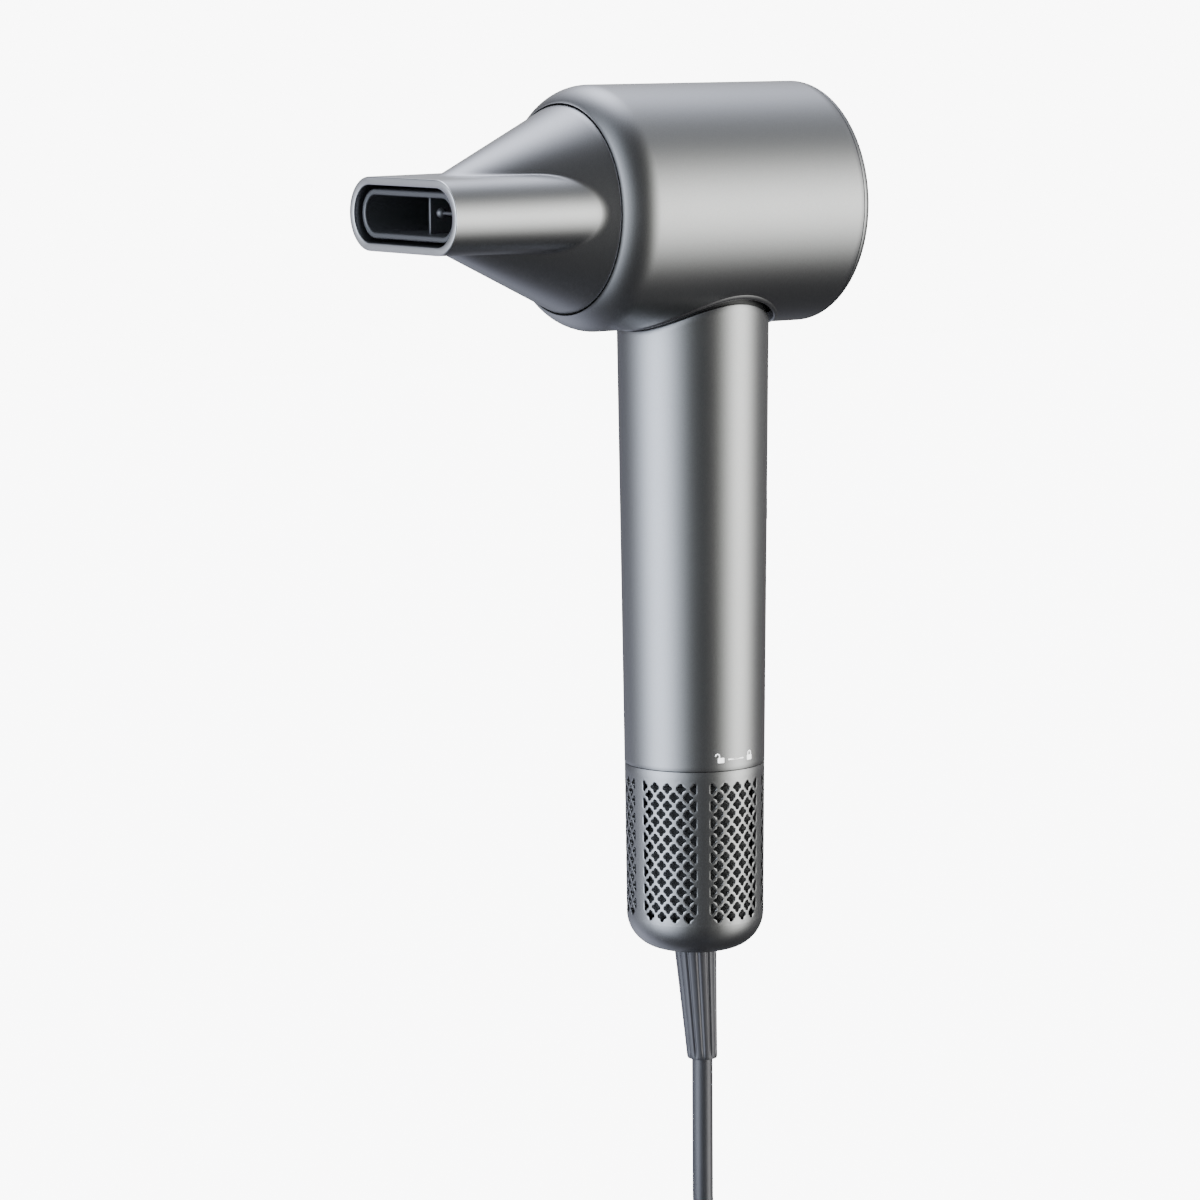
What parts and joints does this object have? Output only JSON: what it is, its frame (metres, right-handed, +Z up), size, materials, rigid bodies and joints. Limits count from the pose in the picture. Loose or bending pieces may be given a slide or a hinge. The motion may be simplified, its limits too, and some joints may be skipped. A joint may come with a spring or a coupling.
{
  "type": "hair dryer",
  "caption": "Hand-held hair dryer with a round barrel, a magnetic flat concentrator nozzle, a straight handle with an air filter at its base, and a coiled mains cord with its plug.",
  "frame": {"origin": "on the handle's axis where the hand grips it, 100 mm below the barrel's axis", "axes": "+Z up along the handle, -X the way the air blows out of the barrel, +Y across, to the right of a user who holds it pointing away"},
  "size_m": [0.1378, 0.1523, 0.37],
  "materials": {
    "shell_metal": "satin grey, finely blasted metallic finish",
    "nozzle_metal": "satin grey metallic, a little brighter than the barrel",
    "trim_metal": "fine satin, lightly polished edges",
    "steel": "plain turned steel",
    "steel_mesh": "dark woven stainless mesh",
    "copper": "resistance wire and winding",
    "pin_brass": "nickel-plated brass",
    "black_plastic": "black heat-resistant plastic",
    "white_ceramic": "white ceramic",
    "mica": "mica sheet",
    "board": "circuit board",
    "rubber": "black silicone rubber",
    "cord_grey": "grey cable sheath, satin",
    "lens": "frosted light guide"
  },
  "bodies": {
    "root": {"head_shell": "shell_metal", "rear_cover": "shell_metal", "front_bezel": "black_plastic", "magnet_ring": "steel", "outlet_grille": "black_plastic", "ion_emitter": "steel", "heater_shroud": "mica", "heater_frame": "mica", "heater_coil_front": "copper", "heater_coil_middle": "copper", "heater_coil_rear": "copper", "thermal_fuse": "white_ceramic", "thermostat": "steel", "air_guide": "black_plastic", "control_board": "board", "board_screw_1": "steel", "board_screw_2": "steel", "ion_module": "black_plastic", "handle_shell": "shell_metal", "neck_collar": "black_plastic", "motor_sleeve": "rubber", "motor_housing": "trim_metal", "motor_stator": "copper", "bearing_lower": "steel", "bearing_upper": "steel", "upper_duct": "black_plastic", "switch_board": "board", "slide_switch": "steel", "temp_switch": "black_plastic", "cool_switch": "black_plastic", "indicator_lens_1": "lens", "indicator_lens_2": "lens", "indicator_lens_3": "lens", "driver_board": "board", "inlet_core": "black_plastic", "cord_clamp": "black_plastic", "clamp_screw_1": "steel", "clamp_screw_2": "steel", "strain_relief": "cord_grey", "live_wire": "black_plastic", "neutral_wire": "black_plastic", "cord_lead": "cord_grey", "cord_coil": "cord_grey", "cord_tie": "rubber", "cord_tail": "cord_grey", "plug_body": "cord_grey", "plug_pin_1": "pin_brass", "plug_pin_2": "pin_brass"},
    "nozzle_mount": {"nozzle_base_ring": "steel"},
    "nozzle": {"nozzle_shell": "nozzle_metal", "nozzle_inner_duct": "black_plastic", "nozzle_divider": "black_plastic"},
    "filter_sleeve": {"filter_liner": "steel_mesh"},
    "filter": {"filter_cover": "shell_metal"},
    "slider": {"speed_slider": "trim_metal"},
    "temp_key": {"temp_button": "trim_metal"},
    "cool_key": {"cool_button": "trim_metal"},
    "rotor": {"motor_shaft": "steel", "rotor_magnet": "steel", "impeller": "black_plastic"}
  },
  "joints": [
    {"name": "nozzle_pull", "type": "slide", "parent": "root", "child": "nozzle_mount", "axis": [-1, 0, 0], "range_m": [0, 0.04]},
    {"name": "nozzle_swivel", "type": "hinge", "parent": "nozzle_mount", "child": "nozzle", "pos_m": [-0.045, 0, 0.1], "axis": [1, 0, 0], "continuous": true},
    {"name": "filter_pull", "type": "slide", "parent": "root", "child": "filter_sleeve", "axis": [0, 0, -1], "range_m": [0, 0.055]},
    {"name": "filter_twist", "type": "hinge", "parent": "filter_sleeve", "child": "filter", "pos_m": [0, 0, -0.09], "axis": [0, 0, -1], "range_deg": [0, 30]},
    {"name": "speed_slide", "type": "slide", "parent": "root", "child": "slider", "axis": [0, 0, 1], "range_m": [0, 0.008]},
    {"name": "temp_press", "type": "slide", "parent": "root", "child": "temp_key", "axis": [-1, 0, 0], "range_m": [0, 0.0008], "stiffness_N_per_m": 400},
    {"name": "cool_press", "type": "slide", "parent": "root", "child": "cool_key", "axis": [-1, 0, 0], "range_m": [0, 0.0008], "stiffness_N_per_m": 400},
    {"name": "motor_spin", "type": "hinge", "parent": "root", "child": "rotor", "pos_m": [0, 0, -0.03], "axis": [0, 0, 1], "continuous": true}
  ]
}
